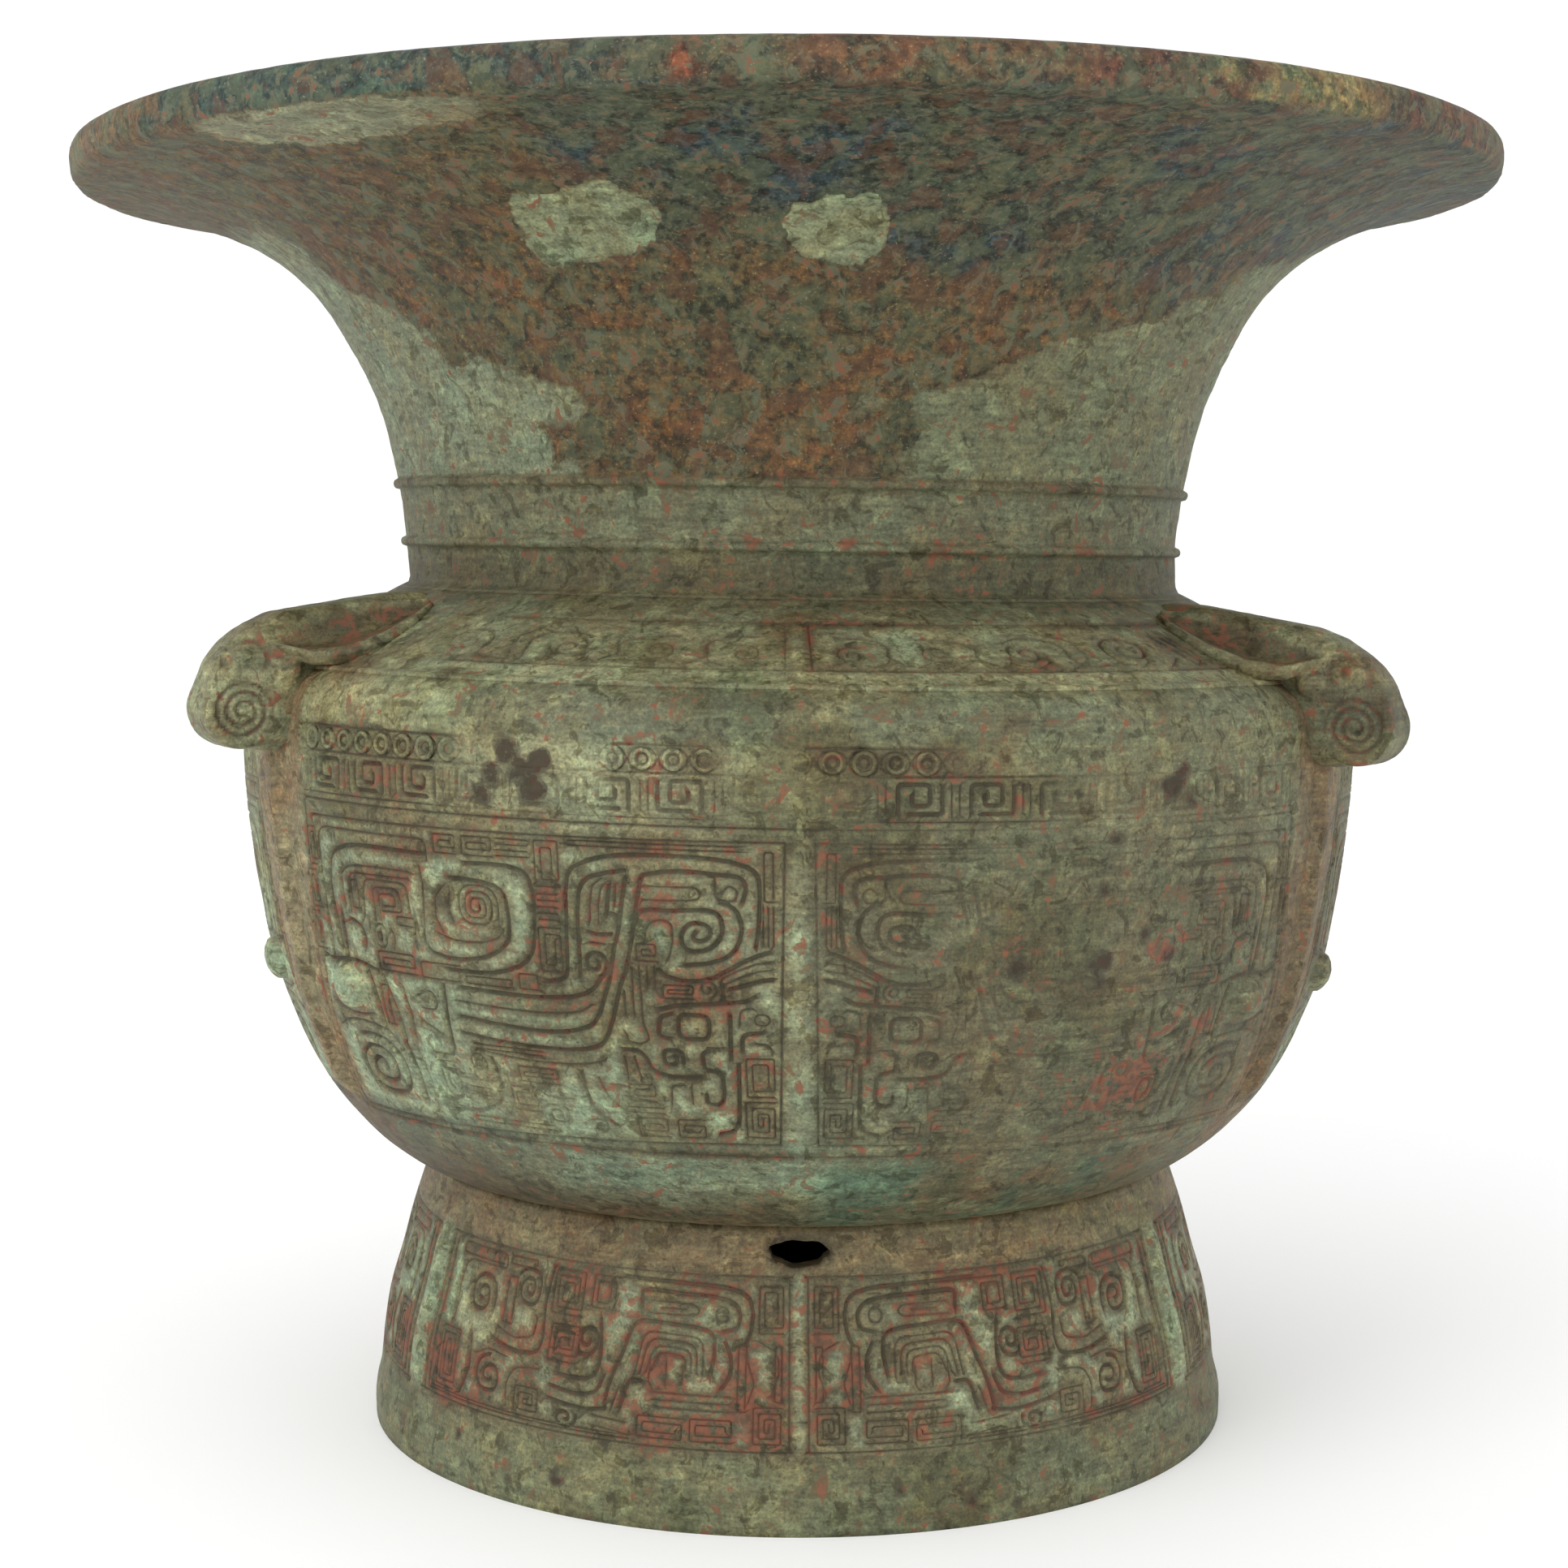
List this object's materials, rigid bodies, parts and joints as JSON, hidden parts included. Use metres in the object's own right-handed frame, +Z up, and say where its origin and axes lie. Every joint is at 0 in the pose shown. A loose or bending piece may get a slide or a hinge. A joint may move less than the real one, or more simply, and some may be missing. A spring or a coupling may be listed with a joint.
{
  "type": "bronze zun vessel",
  "caption": "Ancient bronze wine vessel with a wide trumpet mouth, a banded round belly with mask relief, animal heads on the shoulder and a hollow flared foot.",
  "frame": {"origin": "middle of the foot ring's standing plane, on the vessel's axis", "axes": "+Z up along the vessel's axis, -Y towards the front casting seam, +X to the right seen from the front"},
  "size_m": [0.3396, 0.3396, 0.307],
  "materials": {
    "patinated_bronze": "cast bronze under a dull sage and olive green patina, red-brown in the grooves, with blue and rust zones on the mouth"
  },
  "bodies": {
    "root": {"zun_vessel": "patinated_bronze"}
  },
  "joints": []
}
